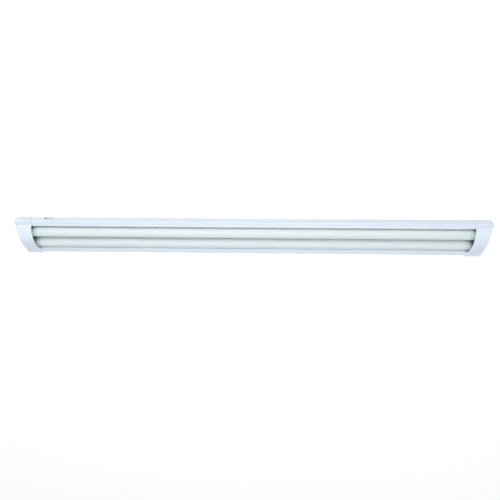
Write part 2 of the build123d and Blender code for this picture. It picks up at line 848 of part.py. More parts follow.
with BuildPart() as mains_clamp_screws:
    with BuildSketch(Plane.XY.offset(clamp_tip_z)):
        with Locations(*clamp_points):
            Circle(clamp_screw_diameter / 2)
    extrude(amount=back_z + block_height - clamp_tip_z)
    with BuildSketch(Plane.XY.offset(back_z + block_height)):
        with Locations(*clamp_points):
            Rectangle(clamp_screw_diameter * 2, driver_slot_width)
    extrude(amount=-driver_slot_depth, mode=Mode.SUBTRACT)
save(mains_clamp_screws.part, "mains_clamp_screws")

block_screws = pan_screws(block_screw_points, floor_z, m3_shank, m3_head, m3_head_height, screw_grip)
save(block_screws, "mains_block_screws")

# Earth tag: a foot on the tray and an upright with a crimp sleeve for the wire
with BuildPart() as earth_tag:
    with BuildSketch(Plane.XY.offset(back_z)):
        with Locations((tag_x + tag_foot / 2, 0)):
            Rectangle(tag_foot, tag_width)
        with Locations(earth_screw_point):
            Circle(m4_shank / 2 + fine_clearance, mode=Mode.SUBTRACT)
    extrude(amount=sheet)
    with BuildSketch(Plane.YZ.offset(tag_x)):
        with Locations((0, back_z + tag_height / 2)):
            Rectangle(tag_width, tag_height)
    extrude(amount=sheet)
    with BuildSketch(Plane.YZ.offset(tag_x)):
        with Locations((0, wire_z)):
            Circle(sleeve_diameter / 2)
    extrude(amount=-sleeve_length)
    with BuildSketch(Plane.YZ.offset(tag_x - sleeve_length)):
        with Locations((0, wire_z)):
            Circle(wire_diameter / 2 + wire_clearance)
    extrude(amount=sleeve_length, mode=Mode.SUBTRACT)
save(earth_tag.part, "earth_tag")

earth_screw = pan_screws([earth_screw_point], floor_z, m4_shank, m4_head, m4_head_height, screw_grip)
save(earth_screw, "earth_screw")


# Wires
def straight_wire(y, start_x, end_x):
    with BuildPart() as wire:
        with BuildSketch(Plane.YZ.offset(start_x)):
            with Locations((y, wire_z)):
                Circle(wire_diameter / 2)
        extrude(amount=end_x - start_x)
    return wire.part


block_wire_x = block_x + block_length / 2 - wire_entry_depth
ballast_wire_x = -ballast_half + wire_entry_depth
save(straight_wire(-mains_wire_offset, block_wire_x, ballast_wire_x), "live_wire")
save(straight_wire(mains_wire_offset, block_wire_x, ballast_wire_x), "neutral_wire")
save(straight_wire(0, block_wire_x, tag_x - wire_clearance), "earth_wire")


def lamp_leads(end, row):
    """Two leads that rise out of a lampholder's foot and run along the spine to the ballast."""
    plug_top_z = back_z + plug_rise
    with BuildPart() as leads:
        for y in (row * lamp_wire_inner, row * lamp_wire_outer):
            with BuildLine() as route:
                FilletPolyline(
                    (end * plug_x, y, plug_top_z),
                    (end * plug_x, y, wire_z),
                    (end * (ballast_half - wire_entry_depth), y, wire_z),
                    radius=wire_bend,
                )
            with BuildSketch(Plane.XY.offset(plug_top_z)):
                with Locations((end * plug_x, y)):
                    Circle(wire_diameter / 2)
            sweep(path=route.line)
    return leads.part


for lamp, row_y in lamp_rows.items():
    for side, end in ends.items():
        save(lamp_leads(end, 1 if row_y > 0 else -1), f"{lamp}_{side}_lamp_leads")

# Saddles that carry the lamp leads above the tray, pegged through its floor
with BuildPart() as wire_saddles:
    with BuildSketch(Plane.XY.offset(back_z)):
        with Locations(*saddle_points):
            Rectangle(saddle_length, saddle_width)
    extrude(amount=saddle_height)
    with BuildSketch(Plane.XY.offset(back_z)):
        with Locations(*saddle_points):
            Circle(saddle_peg_diameter / 2)
    extrude(amount=-saddle_peg_length)
    with BuildSketch(Plane.YZ):
        with Locations(*[(y, wire_z) for y in lamp_ways]):
            Circle(wire_diameter / 2 + wire_clearance)
    extrude(amount=saddle_outer_x + saddle_length, both=True, mode=Mode.SUBTRACT)
save(wire_saddles.part, "wire_saddles")
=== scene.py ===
import json
import math

import bpy
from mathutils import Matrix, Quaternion, Vector


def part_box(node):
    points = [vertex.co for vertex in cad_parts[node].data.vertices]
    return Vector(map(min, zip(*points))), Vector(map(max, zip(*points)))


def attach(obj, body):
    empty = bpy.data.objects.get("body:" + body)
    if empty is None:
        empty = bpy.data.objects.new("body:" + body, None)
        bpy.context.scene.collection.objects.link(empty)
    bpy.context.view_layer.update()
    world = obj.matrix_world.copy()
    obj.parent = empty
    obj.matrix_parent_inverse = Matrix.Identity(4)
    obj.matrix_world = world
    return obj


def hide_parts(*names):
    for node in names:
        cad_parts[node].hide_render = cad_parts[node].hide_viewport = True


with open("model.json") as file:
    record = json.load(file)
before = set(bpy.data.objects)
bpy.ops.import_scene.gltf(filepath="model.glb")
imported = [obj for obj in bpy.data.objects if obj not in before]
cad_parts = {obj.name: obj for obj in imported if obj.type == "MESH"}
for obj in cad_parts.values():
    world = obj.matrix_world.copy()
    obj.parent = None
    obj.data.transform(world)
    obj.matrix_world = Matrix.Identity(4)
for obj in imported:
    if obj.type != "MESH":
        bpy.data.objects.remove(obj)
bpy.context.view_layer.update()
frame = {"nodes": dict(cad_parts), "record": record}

scene = bpy.context.scene
scene.view_settings.view_transform = "Standard"

# Camera below the fitting and on its near side, as in the photograph
LENS_MM = 30.614
CAMERA_PLACE = Vector((0.0346, -0.7341, -0.9312))
CAMERA_AIM = Vector((-0.0015, 0.0406, -0.0460))
CAMERA_ROLL = math.radians(2.53)


def make_camera():
    data = bpy.data.cameras.new("camera")
    data.lens = LENS_MM
    data.sensor_width = 36.0
    data.clip_start = 0.01
    camera = bpy.data.objects.new("camera", data)
    scene.collection.objects.link(camera)
    camera.location = CAMERA_PLACE
    camera.rotation_mode = "QUATERNION"
    level = (CAMERA_AIM - CAMERA_PLACE).to_track_quat("-Z", "Y")
    camera.rotation_quaternion = level @ Quaternion((0, 0, 1), CAMERA_ROLL)
    scene.camera = camera


make_camera()


# Node helpers
class Recipe:
    """A material's node tree, with short calls for the nodes that the finishes share."""

    def __init__(self, name):
        self.material = bpy.data.materials.new(name)
        self.material.use_nodes = True
        self.nodes = self.material.node_tree.nodes
        self.links = self.material.node_tree.links
        self.shader = self.nodes["Principled BSDF"]
        places = self.add("ShaderNodeTexCoord")
        self.coordinates = places.outputs["Object"]
        self.normals = places.outputs["Normal"]

    def add(self, kind, **settings):
        node = self.nodes.new(kind)
        for key, value in settings.items():
            setattr(node, key, value)
        return node

    def link(self, source, target):
        self.links.new(source, target)

    def set(self, **values):
        """Set the shader's own inputs, named with underscores for spaces."""
        for key, value in values.items():
            self.shader.inputs[key.replace("_", " ")].default_value = value

    def stretched(self, scale):
        """The object's coordinates, scaled by a different amount along each axis."""
        mapping = self.add("ShaderNodeMapping")
        mapping.inputs["Scale"].default_value = scale
        self.link(self.coordinates, mapping.inputs["Vector"])
        return mapping.outputs["Vector"]

    def axes(self):
        """The object's own X, Y and Z at each point."""
        split = self.add("ShaderNodeSeparateXYZ")
        self.link(self.coordinates, split.inputs[0])
        return list(split.outputs)

    def upward(self):
        """How far the surface faces up: 1 straight up, -1 straight down."""
        split = self.add("ShaderNodeSeparateXYZ")
        self.link(self.normals, split.inputs[0])
        return split.outputs["Z"]

    def math(self, operation, first, second=None):
        node = self.add("ShaderNodeMath", operation=operation)
        for socket, value in zip(node.inputs, (first, second)):
            if isinstance(value, bpy.types.NodeSocket):
                self.link(value, socket)
            elif value is not None:
                socket.default_value = value
        return node.outputs[0]

    def noise(self, scale, detail=3.0, vector=None):
        node = self.add("ShaderNodeTexNoise")
        node.inputs["Scale"].default_value = scale
        node.inputs["Detail"].default_value = detail
        self.link(vector or self.coordinates, node.inputs["Vector"])
        return node.outputs["Fac"]

    def remap(self, value, low, high, start=0.35, end=0.65):
        """Carry start to low and end to high, and hold both ends."""
        node = self.add("ShaderNodeMapRange")
        node.inputs["From Min"].default_value = start
        node.inputs["From Max"].default_value = end
        node.inputs["To Min"].default_value = low
        node.inputs["To Max"].default_value = high
        self.link(value, node.inputs["Value"])
        return node.outputs["Result"]

    def mix(self, factor, first, second):
        """A blend of two colours, each a node's output or three numbers."""
        node = self.add("ShaderNodeMix", data_type="RGBA")
        for socket, value in zip(node.inputs[6:8], (first, second)):
            if isinstance(value, bpy.types.NodeSocket):
                self.link(value, socket)
            else:
                socket.default_value = (*value, 1.0)
        self.link(factor, node.inputs[0])
        return node.outputs[2]

    def colour(self, source):
        self.link(source, self.shader.inputs["Base Color"])

    def rough(self, value, low, high):
        self.link(self.remap(value, low, high), self.shader.inputs["Roughness"])

    def bump(self, height, distance, strength):
        node = self.add("ShaderNodeBump")
        node.inputs["Distance"].default_value = distance
        node.inputs["Strength"].default_value = strength
        self.link(height, node.inputs["Height"])
        self.link(node.outputs["Normal"], self.shader.inputs["Normal"])


# Bands over which a finish fades from one tone to the next, in metres: for the painted highlights on the
# tray's near lip and the caps' edges, and for the lamps' painted shade with end blackening
LIP_OUTER = (-0.0435, -0.0415)
LIP_INNER = (-0.038, -0.037)
LIP_DEPTH = (-0.045, -0.0442)
NEAR_WALL = (-0.046, -0.045)
CAP_SIDE = (0.0538, 0.0552)
CAP_FLANGE = (-0.0471, -0.0455)
CAP_MOUTH = (0.5876, 0.5886)
CAP_CROWN = (-0.0487, -0.0471)
DULL_AND_SHADE_BAND = (0.534, 0.548)
END_BLACKENING_AND_SHADE_BAND = (0.571, 0.588)
EARTH_STRIPE = 0.0002

# Holes punched in the near wall: place along the tray, depth, radius, width of the bare edge, whose dark ring
# is also painted shade of the hole
PUNCHED = (
    (-0.5500, -0.0306, 0.00275, 0.0011),
    (-0.5394, -0.0306, 0.00175, 0.0004),
    (-0.5336, -0.0306, 0.00175, 0.0004),
)
# Dark greenish tone of the bare edges, which also serves as painted shade in the holes
BARE_EDGE_AND_HOLE_SHADE = (0.10, 0.15, 0.12)
RAGGED = 0.0003


def punched_edges_and_hole_shade(paint):
    """Where the paint is broken away around the holes in the near wall, darkened so that it also paints the
    shade inside the holes.
    """
    along, across, height = paint.axes()
    ragged = paint.remap(paint.noise(900.0, 2.0), -RAGGED, RAGGED)
    bare = None
    for place, level, radius, edge in PUNCHED:
        sideways = paint.math("SUBTRACT", along, place)
        upright = paint.math("SUBTRACT", height, level)
        square = paint.math("MULTIPLY", sideways, sideways)
        square = paint.math("ADD", square, paint.math("MULTIPLY", upright, upright))
        distance = paint.math("ADD", paint.math("SQRT", square), ragged)
        ring = paint.remap(distance, 1, 0, radius + 0.7 * edge, radius + edge)
        bare = ring if bare is None else paint.math("MAXIMUM", bare, ring)
    return paint.math("MULTIPLY", bare, paint.remap(across, 1, 0, *NEAR_WALL))


def enamel(name, pale, deep, gloss, painted_lip_highlight=None, hidden_back_shade=None):
    """Stoved white paint on sheet steel: orange peel and faint rolling streaks.

    With a highlight tone, the tray's near lip gets a painted highlight line, and its punched holes get dark
    bare edges that also stand in for the shade inside the holes.
    With a shade tone, the sheet's hidden back, where it faces up, has only that dark tone: painted shade
    where little light reaches.
    """
    paint = Recipe(name)
    streaks = paint.noise(1.0, 4.0, paint.stretched((6, 260, 260)))
    clouds = paint.noise(14.0, 3.0)
    tone = paint.mix(paint.remap(streaks, 0, 1), pale, deep)
    dusty = [0.97 * channel for channel in deep]
    tone = paint.mix(paint.remap(clouds, 0, 0.5, 0.5, 0.8), tone, dusty)
    if painted_lip_highlight:
        # Painted highlight: a bright line along the inner edge of the tray's near lip
        across, depth = paint.axes()[1:]
        outer = paint.remap(across, 0, 1, *LIP_OUTER)
        inner = paint.remap(across, 1, 0, *LIP_INNER)
        low = paint.remap(depth, 1, 0, *LIP_DEPTH)
        lip = paint.math("MULTIPLY", paint.math("MULTIPLY", outer, inner), low)
        tone = paint.mix(lip, tone, painted_lip_highlight)
        # Bare edges round the punched holes, dark enough to paint the shade inside the holes as well
        tone = paint.mix(punched_edges_and_hole_shade(paint), tone, BARE_EDGE_AND_HOLE_SHADE)
    if hidden_back_shade:
        # Painted shade: faces that turn up, the hidden back, are painted dark
        tone = paint.mix(paint.remap(paint.upward(), 0, 1, 0.15, 0.25), tone, hidden_back_shade)
    paint.colour(tone)
    paint.rough(clouds, gloss, gloss + 0.08)
    paint.bump(paint.noise(700.0, 2.0), 0.0002, 0.12)
    paint.set(Coat_Weight=0.15, Coat_Roughness=0.12, Specular_IOR_Level=0.45)
    return paint.material


def moulding(name, pale, deep, gloss, painted_edge_highlight=None):
    """Injection moulded plastic: fine spark texture and slow changes of tone.

    With a highlight tone, the corners of the end caps' flanges and the edges of their mouths are brighter: a
    painted highlight.
    """
    plastic = Recipe(name)
    flow = plastic.noise(22.0, 3.0)
    tone = plastic.mix(plastic.remap(flow, 0, 1), pale, deep)
    if painted_edge_highlight:
        # Painted highlight along the caps' flange corners and mouth edges
        along, across, height = plastic.axes()
        side = plastic.remap(plastic.math("ABSOLUTE", across), 0, 1, *CAP_SIDE)
        flange = plastic.remap(height, 1, 0, *CAP_FLANGE)
        mouth = plastic.remap(plastic.math("ABSOLUTE", along), 1, 0, *CAP_MOUTH)
        crown = plastic.remap(height, 1, 0, *CAP_CROWN)
        corner = plastic.math("MULTIPLY", side, flange)
        brow = plastic.math("MULTIPLY", mouth, crown)
        tone = plastic.mix(plastic.math("MAXIMUM", corner, brow), tone, painted_edge_highlight)
    plastic.colour(tone)
    plastic.rough(plastic.noise(60.0, 3.0), gloss, gloss + 0.1)
    plastic.bump(plastic.noise(1500.0, 2.0), 0.0001, 0.1)
    plastic.set(Specular_IOR_Level=0.45, IOR=1.49)
    return plastic.material


def phosphor_glass(name, pale, deep, dulled_and_shaded, ends):
    """Glass over a powder coating, the same all round: duller and then dark green at the ends, partly end
    blackening and partly painted shade under the end caps.
    """
    lamp = Recipe(name)
    along = lamp.axes()[0]
    coating = lamp.noise(1.0, 3.0, lamp.stretched((5, 90, 90)))
    tone = lamp.mix(lamp.remap(coating, 0, 1), pale, deep)
    wander = lamp.remap(lamp.noise(120.0, 4.0), -0.003, 0.003)
    ragged = lamp.math("ADD", lamp.math("ABSOLUTE", along), wander)
    # Towards the ends: painted shade from the end caps together with end blackening
    tone = lamp.mix(lamp.remap(ragged, 0, 1, *DULL_AND_SHADE_BAND), tone, dulled_and_shaded)
    lamp.colour(lamp.mix(lamp.remap(ragged, 0, 1, *END_BLACKENING_AND_SHADE_BAND), tone, ends))
    lamp.set(Roughness=0.75, Specular_IOR_Level=0.2)
    lamp.set(Sheen_Weight=1.0, Sheen_Roughness=0.8, Sheen_Tint=(0.9, 0.99, 1.0, 1.0))
    lamp.set(Coat_Weight=0.2, Coat_Roughness=0.2, Coat_IOR=1.5)
    return lamp.material


def drawn_metal(name, pale, deep, gloss, stretch):
    """Bare metal with fine drawing lines along one direction."""
    metal = Recipe(name)
    lines = metal.noise(1.0, 4.0, metal.stretched(stretch))
    metal.colour(metal.mix(metal.remap(lines, 0, 1), pale, deep))
    metal.rough(lines, gloss, gloss + 0.15)
    metal.bump(lines, 0.0001, 0.08)
    metal.set(Metallic=1.0)
    return metal.material


def rubber(name, pale, deep):
    """Moulded rubber with a faint bloom."""
    bush = Recipe(name)
    bloom = bush.noise(150.0, 4.0)
    bush.colour(bush.mix(bush.remap(bloom, 0, 1), deep, pale))
    bush.rough(bloom, 0.6, 0.8)
    bush.bump(bush.noise(1800.0, 2.0), 0.0001, 0.2)
    return bush.material


def insulation(name, pale, stripe=None):
    """Wire insulation, with a stripe along the earth wire."""
    wire = Recipe(name)
    wander = wire.noise(40.0, 2.0)
    tone = wire.mix(wire.remap(wander, 0, 1), pale, [0.9 * channel for channel in pale])
    if stripe:
        tone = wire.mix(wire.math("GREATER_THAN", wire.axes()[1], EARTH_STRIPE), tone, stripe)
    wire.colour(tone)
    wire.set(Roughness=0.45, Specular_IOR_Level=0.4)
    return wire.material


def clear_glass(name, pale, deep):
    """Drawn glass with a faint swirl."""
    stem = Recipe(name)
    swirl = stem.noise(90.0, 2.0)
    stem.colour(stem.mix(stem.remap(swirl, 0, 1), pale, deep))
    stem.set(Roughness=0.08, Transmission_Weight=0.6, IOR=1.5)
    return stem.material


# Each finish: its kind, then the tones and other values that the kind takes
FINISH_TABLE = {
    # The last tone of white_enamel is the painted highlight along the near lip
    "white_enamel": (enamel, (0.81, 0.885, 0.985), (0.795, 0.875, 0.975), 0.32, (0.95, 0.985, 0.99)),
    # The last tone of reflector_enamel is painted shade on the hidden back
    "reflector_enamel": (enamel, (0.94, 0.99, 0.998), (0.93, 0.985, 0.995), 0.24, None, (0.10, 0.12, 0.11)),
    # The last tone of cap_plastic is the painted highlight on the caps' edges
    "cap_plastic": (moulding, (0.795, 0.865, 0.965), (0.78, 0.855, 0.955), 0.28, (0.95, 0.98, 0.99)),
    # The last two tones of phosphor_glass are the lamps' ends: end blackening with painted shade
    "phosphor_glass": (
        phosphor_glass, (0.745, 0.795, 0.805), (0.73, 0.785, 0.79), (0.70, 0.78, 0.78), (0.22, 0.42, 0.29)
    ),
    "base_aluminium": (drawn_metal, (0.80, 0.81, 0.82), (0.70, 0.71, 0.72), 0.3, (900, 30, 30)),
    "base_insulator": (moulding, (0.42, 0.27, 0.13), (0.34, 0.21, 0.10), 0.55),
    "pin_brass": (drawn_metal, (0.78, 0.60, 0.28), (0.68, 0.50, 0.22), 0.25, (60, 900, 900)),
    "stem_glass": (clear_glass, (0.84, 0.9, 0.88), (0.78, 0.86, 0.83)),
    "cathode_wire": (drawn_metal, (0.5, 0.5, 0.51), (0.4, 0.4, 0.41), 0.35, (90, 700, 700)),
    "holder_plastic": (moulding, (0.76, 0.80, 0.80), (0.73, 0.78, 0.78), 0.4),
    "rotor_plastic": (moulding, (0.66, 0.70, 0.70), (0.62, 0.67, 0.67), 0.42),
    "contact_bronze": (drawn_metal, (0.70, 0.46, 0.22), (0.60, 0.38, 0.17), 0.3, (40, 800, 800)),
    "lead_insulation": (insulation, (0.72, 0.73, 0.72)),
    "live_insulation": (insulation, (0.09, 0.03, 0.012)),
    "neutral_insulation": (insulation, (0.012, 0.06, 0.32)),
    "earth_insulation": (insulation, (0.07, 0.30, 0.03), (0.72, 0.58, 0.03)),
    "ballast_steel": (drawn_metal, (0.68, 0.69, 0.70), (0.58, 0.59, 0.61), 0.35, (30, 500, 500)),
    "potting_resin": (moulding, (0.02, 0.02, 0.021), (0.014, 0.014, 0.015), 0.5),
    "terminal_plastic": (moulding, (0.70, 0.72, 0.70), (0.66, 0.68, 0.66), 0.42),
    "nylon": (moulding, (0.72, 0.73, 0.70), (0.68, 0.69, 0.66), 0.45),
    "grommet_rubber": (rubber, (0.030, 0.030, 0.031), (0.018, 0.018, 0.019)),
    "zinc_steel": (drawn_metal, (0.66, 0.67, 0.69), (0.55, 0.56, 0.58), 0.3, (300, 300, 300)),
}
FINISHES = {name: kind(name, *values) for name, (kind, *values) in FINISH_TABLE.items()}

for part in frame["record"]["subparts"]:
    node = frame["nodes"][part["node"]]
    node.data.materials.clear()
    node.data.materials.append(FINISHES[part["material_slot"]])


# Geometry Nodes helpers
class Tree:
    """A Geometry Nodes tree with named inputs for its sizes, and short calls for its nodes."""

    def __init__(self, name, sizes):
        self.group = bpy.data.node_groups.new(name, "GeometryNodeTree")
        face = self.group.interface
        face.new_socket("Geometry", in_out="INPUT", socket_type="NodeSocketGeometry")
        for label, value in sizes.items():
            kind = "NodeSocketInt" if isinstance(value, int) else "NodeSocketFloat"
            face.new_socket(label, in_out="INPUT", socket_type=kind).default_value = value
        face.new_socket("Finish", in_out="INPUT", socket_type="NodeSocketMaterial")
        face.new_socket("Geometry", in_out="OUTPUT", socket_type="NodeSocketGeometry")
        self.given = self.group.nodes.new("NodeGroupInput").outputs
        self.output = self.group.nodes.new("NodeGroupOutput").inputs["Geometry"]

    def add(self, kind, settings=None, out=0, **values):
        """Add a node, set or link its inputs by name or number, and give back one of its outputs."""
        node = self.group.nodes.new(kind)
        for key, value in (settings or {}).items():
            setattr(node, key, value)
        for key, value in values.items():
            socket = node.inputs[int(key[1:]) if key[0] == "_" else key.replace("_", " ")]
            for one in value if isinstance(value, list) else [value]:
                if isinstance(one, bpy.types.NodeSocket):
                    self.group.links.new(one, socket)
                else:
                    socket.default_value = one
        return node.outputs[out]

    def math(self, operation, first, second=0.0):
        return self.add("ShaderNodeMath", {"operation": operation}, _0=first, _1=second)

    def vector(self, **parts):
        return self.add("ShaderNodeCombineXYZ", **parts)

    def moved(self, geometry, **change):
        return self.add("GeometryNodeTransform", Geometry=geometry, **change)

    def ramp(self, value, start, end):
        """A smooth rise from 0 at start to 1 at end."""
        smooth = {"interpolation_type": "SMOOTHSTEP"}
        return self.add("ShaderNodeMapRange", smooth, Value=value, From_Min=start, From_Max=end)

    def boolean(self, operation, **solids):
        settings = {"operation": operation, "solver": "EXACT"}
        return self.add("GeometryNodeMeshBoolean", settings, **solids)

    def finish(self, geometry, crease):
        """Crease the sharp edges, make the instances real and set the finish."""
        real = self.add("GeometryNodeRealizeInstances", Geometry=geometry)
        smooth = self.add("GeometryNodeSetShadeSmooth", Geometry=real, Shade_Smooth=True)
        angle = self.add("GeometryNodeInputMeshEdgeAngle")
        sharp = self.add("FunctionNodeCompare", {"operation": "GREATER_THAN"}, _0=angle, _1=crease)
        creased = self.add(
            "GeometryNodeSetShadeSmooth", {"domain": "EDGE"},
            Geometry=smooth, Selection=sharp, Shade_Smooth=False,
        )
        painted = self.add("GeometryNodeSetMaterial", Geometry=creased, Material=self.given["Finish"])
        self.group.links.new(painted, self.output)


def grow(name, tree, points, edges, slot, body, **sizes):
    """Run a tree on its starting points, keep the result as a plain mesh and let it ride on its body."""
    start = bpy.data.meshes.new(name)
    start.from_pydata(points, edges, [])
    piece = bpy.data.objects.new(name, start)
    scene.collection.objects.link(piece)
    modifier = piece.modifiers.new("shape", "NODES")
    modifier.node_group = tree.group
    wanted = {label.replace("_", " "): value for label, value in sizes.items()}
    wanted["Finish"] = FINISHES[slot]
    for item in tree.group.interface.items_tree:
        if item.in_out == "INPUT" and item.name in wanted:
            modifier[item.identifier] = wanted[item.name]
    graph = bpy.context.evaluated_depsgraph_get()
    mesh = bpy.data.meshes.new_from_object(piece.evaluated_get(graph))
    piece.modifiers.remove(modifier)
    mesh.materials.clear()
    mesh.materials.append(FINISHES[slot])
    piece.data = mesh
    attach(piece, body)
    return piece


# Lamps: glass with drawn-in shoulders, and bases with a rolled edge and a ring of punch marks
BASE_LENGTH = 0.012
BASE_WALL = 0.0005
BASE_CORNER = 0.002
BASE_OPENING = 0.010
ROLLED_EDGE = 0.00015
ROLLED_STEPS = (0.0003, 0.0009, 0.0013, 0.0018)
GLASS_WALL = 0.0008
SHOULDER_LENGTH = 0.003
NECK_LENGTH = 0.008
NECK_CLEARANCE = 0.0001
PUNCH_MARKS = {"Marks": 8, "Mark_Length": 0.0013, "Mark_Depth": 0.0004}
MARK_INSET = 0.0078


def turned_shell():
    """A section turned about a lamp's axis, at both ends of the lamp, with a ring of punch marks."""
    tree = Tree("turned_shell", {
        "Turning Radius": 0.013,
        "Steps": 96,
        "Across": 0.0,
        "Height": 0.0,
        "Marks": 0,
        "Mark Place": 0.0,
        "Mark Length": 0.001,
        "Mark Depth": 0.0,
    })
    given = tree.given
    section = tree.add("GeometryNodeMeshToCurve", Mesh=given["Geometry"])
    ring = tree.add(
        "GeometryNodeCurvePrimitiveCircle", Resolution=given["Steps"], Radius=given["Turning Radius"]
    )
    swept = tree.add("GeometryNodeCurveToMesh", Curve=ring, Profile_Curve=section)
    outward = tree.add("GeometryNodeFlipFaces", Mesh=swept)
    turned = tree.moved(outward, Rotation=(0, math.pi / 2, 0))
    axes = tree.add("ShaderNodeSeparateXYZ", Vector=tree.add("GeometryNodeInputPosition")).node.outputs
    angle = tree.math("ARCTAN2", axes["Z"], axes["Y"])
    around = tree.ramp(tree.math("COSINE", tree.math("MULTIPLY", angle, given["Marks"])), 0.75, 1.0)
    off = tree.math("ABSOLUTE", tree.math("SUBTRACT", axes["X"], given["Mark Place"]))
    along = tree.ramp(off, given["Mark Length"], 0.0)
    depth = tree.math("MULTIPLY", tree.math("MULTIPLY", around, along), given["Mark Depth"])
    spoke = tree.add(
        "ShaderNodeVectorMath", {"operation": "NORMALIZE"}, _0=tree.vector(Y=axes["Y"], Z=axes["Z"])
    )
    push = tree.add(
        "ShaderNodeVectorMath", {"operation": "SCALE"}, _0=spoke, Scale=tree.math("MULTIPLY", depth, -1.0)
    )
    punched = tree.add("GeometryNodeSetPosition", Geometry=turned, Offset=push)
    other_end = tree.moved(punched, Rotation=(0, 0, math.pi))
    both = tree.add("GeometryNodeJoinGeometry", Geometry=[punched, other_end])
    closed = tree.add("GeometryNodeMergeByDistance", Geometry=both, Distance=1e-6)
    axis = tree.vector(Y=given["Across"], Z=given["Height"])
    tree.finish(tree.moved(closed, Translation=axis), math.radians(35))
    return tree


def quarter(centre_x, centre_r, long, tall, steps=6):
    """Points of a quarter ellipse, from its top to its far end."""
    turn = [math.pi / 2 * step / steps for step in range(steps + 1)]
    return [(centre_x + long * math.sin(a), centre_r + tall * math.cos(a)) for a in turn]


def spread(start, end, radius, steps):
    """Points in a row along the lamp, all at one radius."""
    return [(start + (end - start) * step / steps, radius) for step in range(steps + 1)]


def base_section(end, radius):
    """A base's wall, round its closed section: out along the skirt, over the corner and back inside."""
    edge = end - BASE_LENGTH
    corner = end - BASE_CORNER
    inner = radius - BASE_WALL
    rise, crest, fall, plain = (edge + step for step in ROLLED_STEPS)
    rolled = [(edge, radius - ROLLED_EDGE), (rise, radius + ROLLED_EDGE / 2)]
    rolled += [(crest, radius + ROLLED_EDGE / 2), (fall, radius - ROLLED_EDGE / 3)]
    skirt = spread(plain, corner, radius, 18)
    outside = quarter(corner, radius - BASE_CORNER, BASE_CORNER, BASE_CORNER)
    face = [(end, BASE_OPENING), (end - BASE_WALL, BASE_OPENING)]
    inside = quarter(corner, radius - BASE_CORNER, BASE_CORNER - BASE_WALL, BASE_CORNER - BASE_WALL)
    back = spread(edge, corner, inner, 20)
    return rolled + skirt[:-1] + outside + face + inside[::-1] + back[-2::-1]


def glass_section(end, radius, neck):
    """Half of a tube's wall, from its middle over the shoulder to the neck and back inside."""
    shoulder = end - BASE_LENGTH
    start = shoulder - SHOULDER_LENGTH
    neck_end = shoulder + NECK_LENGTH
    outside = quarter(start, neck, SHOULDER_LENGTH, radius - neck, 8)
    inside = quarter(start - GLASS_WALL, neck - GLASS_WALL, SHOULDER_LENGTH, radius - neck, 8)
    ends = [(neck_end, neck), (neck_end, neck - GLASS_WALL)]
    return [(0.0, radius)] + outside + ends + inside[::-1] + [(0.0, radius - GLASS_WALL)]


def turned_piece(name, tree, section, closed, slot, body, node, **sizes):
    """Turn a section of (along, radius) points about the axis of the node that the piece stands for."""
    low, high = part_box(node)
    turning = (high[2] - low[2]) / 2
    points = [(radius - turning, -along, 0.0) for along, radius in section]
    edges = [(first, first + 1) for first in range(len(points) - 1)]
    if closed:
        edges.append((len(points) - 1, 0))
    middle = {"Across": (low[1] + high[1]) / 2, "Height": (low[2] + high[2]) / 2}
    piece = grow(name, tree, points, edges, slot, body, Turning_Radius=turning, **middle, **sizes)
    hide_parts(node)


def make_lamps():
    """Each lamp's two bases and its glass, in place of the plain ones."""
    tree = turned_shell()
    for row in ("near", "rear"):
        low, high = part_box(f"{row}_tube_bases")
        end = high[0]
        base_radius = (high[2] - low[2]) / 2
        glass_low, glass_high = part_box(f"{row}_tube_glass")
        glass_radius = (glass_high[2] - glass_low[2]) / 2
        neck = base_radius - BASE_WALL - NECK_CLEARANCE
        base = base_section(end, base_radius)
        glass = glass_section(end, glass_radius, neck)
        turned_piece(
            f"{row}_tube_base_shells", tree, base, True, "base_aluminium", f"{row}_tube",
            f"{row}_tube_bases", Mark_Place=end - MARK_INSET, **PUNCH_MARKS,
        )
        turned_piece(
            f"{row}_tube_envelope", tree, glass, False, "phosphor_glass", f"{row}_tube",
            f"{row}_tube_glass",
        )


make_lamps()


# Reflector screws
SCREW_PLACES = (-0.46, -0.2, 0.2, 0.46)
HEAD_HEIGHT = 0.0022
CROWN_RADIUS = 0.93
RECESS_ARM = 0.58


